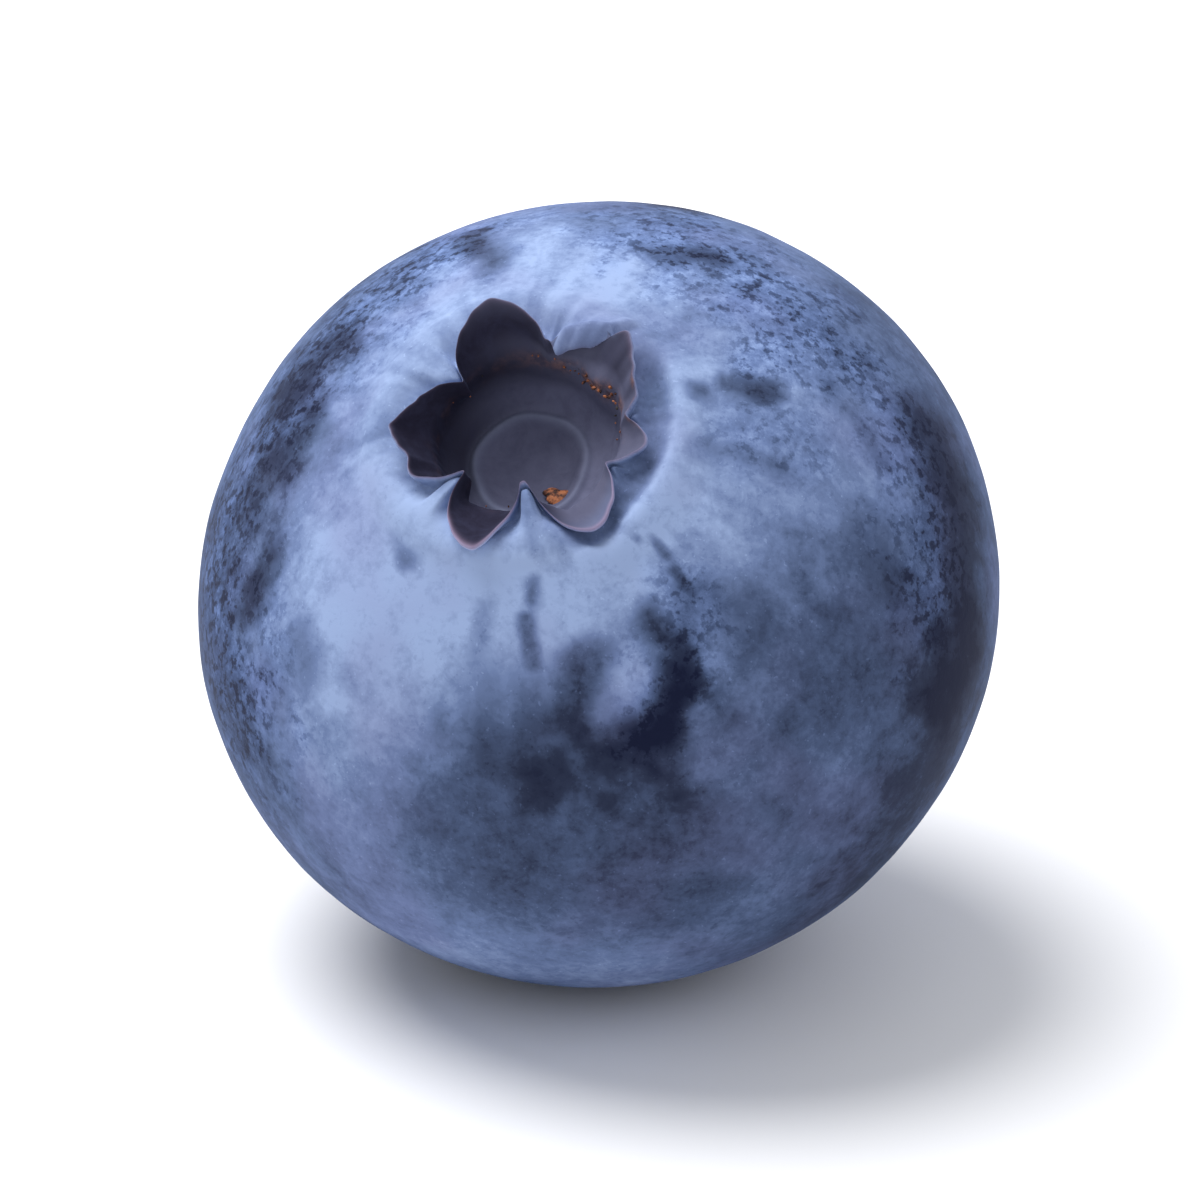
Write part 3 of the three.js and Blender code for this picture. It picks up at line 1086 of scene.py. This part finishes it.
crumb = grow("GeometryNodeMeshIcoSphere", {"Radius": 1.0, "Subdivisions": 1})["Mesh"]
crumb = grow("GeometryNodeTransform", {"Geometry": crumb, "Scale": (1.0, 0.7, 0.5)})["Geometry"]
crumbs = grow(
    "GeometryNodeInstanceOnPoints",
    {"Points": spots, "Selection": picked, "Instance": crumb, "Rotation": facing, "Scale": span},
)["Instances"]
crumbs = grow("GeometryNodeRealizeInstances", {"Geometry": crumbs})["Geometry"]
crumbs = grow("GeometryNodeSetMaterial", {"Geometry": crumbs, "Material": dry.material})["Geometry"]
grow("NodeGroupOutput", {"Crumbs": crumbs})
print("nodes in the crumb tree:", len(crumb_tree.nodes))

# %% [markdown]
# The ledge is one row of the skin's own net, so the crumbs lie on it. `dryness` says how likely a
# crumb is at each point. The result is turned into a plain mesh, and the ledge itself is removed.

# %% Grow the crumbs along the ledge
ledge_row = root_row - 1
ledge_points = world[1 + ledge_row * AROUND : 1 + (ledge_row + 1) * AROUND]
ledge_mesh = bpy.data.meshes.new("ledge")
ledge_mesh.from_pydata(ledge_points.tolist(), [(k, (k + 1) % AROUND) for k in range(AROUND)], [])
dry_arc = np.exp(-(((azimuth - 140) / 32) ** 2))
dryness_layer = ledge_mesh.attributes.new("dryness", "FLOAT", "POINT")
dryness_layer.data.foreach_set("value", (0.06 + 0.8 * dry_arc).astype(np.float32))
ledge = bpy.data.objects.new("ledge", ledge_mesh)
scene.collection.objects.link(ledge)
growing = ledge.modifiers.new("crumbs", "NODES")
growing.node_group = crumb_tree
chosen = dict(Count=260, Smallest=0.03 * MM, Largest=0.08 * MM, Scatter=0.13 * MM, Seed=7)
for name, value in chosen.items():
    growing[crumb_tree.interface.items_tree[name].identifier] = value
grown = ledge.evaluated_get(bpy.context.evaluated_depsgraph_get())
crumb_mesh = bpy.data.meshes.new_from_object(grown)
crumb_mesh.name = "petal_scars"
petal_scars = bpy.data.objects.new("petal_scars", crumb_mesh)
scene.collection.objects.link(petal_scars)
bpy.data.objects.remove(ledge)
crumb_mesh.materials.clear()
crumb_mesh.materials.append(dry.material)
# The crumbs take one fixed height on the style's painted light, near its paler end.
crumb_up = crumb_mesh.attributes.new("up", "FLOAT", "POINT")
crumb_up.data.foreach_set("value", np.full(len(crumb_mesh.vertices), 0.75))
print("crumb faces:", len(crumb_mesh.polygons))

# %% [markdown]
# ## The stage
#
# A plain pale floor and soft light. One large lamp up and to the left gives the berry its form,
# a weaker one opens the shadows, and the floor itself throws light up under the berry.

# %% Floor and lights
floor_mesh = bpy.data.meshes.new("floor")
FLOOR_HALF = 3.0
floor_corners = [
    (-FLOOR_HALF, -FLOOR_HALF, 0),
    (FLOOR_HALF, -FLOOR_HALF, 0),
    (FLOOR_HALF, FLOOR_HALF, 0),
    (-FLOOR_HALF, FLOOR_HALF, 0),
]
floor_mesh.from_pydata(floor_corners, [], [(0, 1, 2, 3)])
floor = bpy.data.objects.new("floor", floor_mesh)
scene.collection.objects.link(floor)
paper = Paint("pale_floor")
floor_mesh.materials.append(paper.finish(Base_Color=(0.86, 0.86, 0.87, 1), Roughness=0.55))


def soft_lamp(name, offset, size, watts, tint):
    data = bpy.data.lights.new(name, "AREA")
    data.shape, data.size, data.energy, data.color = "DISK", size, watts, tint
    lamp = bpy.data.objects.new(name, data)
    lamp.location = aim + Vector(offset)
    lamp.rotation_euler = (-Vector(offset)).to_track_quat("-Z", "Y").to_euler()
    scene.collection.objects.link(lamp)


soft_lamp("key", (-0.17, 0.13, 0.40), 0.36, 2.8, (1.0, 1.0, 1.0))
soft_lamp("fill", (0.34, -0.20, 0.30), 0.40, 0.3, (0.97, 0.98, 1.0))

world_light = bpy.data.worlds.new("studio")
world_light.use_nodes = True
world_light.node_tree.nodes["Background"].inputs["Color"].default_value = (0.93, 0.95, 1.0, 1)
world_light.node_tree.nodes["Background"].inputs["Strength"].default_value = 0.68
scene.world = world_light
scene.view_settings.view_transform = "Standard"

# %% [markdown]
# ## Hand the pieces over
#
# All three pieces belong to the berry's one body. The skin takes the place of the solid berry.

# %% Hand the pieces over
for piece in (berry_skin, dried_style, petal_scars):
    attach(piece, "root")
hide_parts("berry")
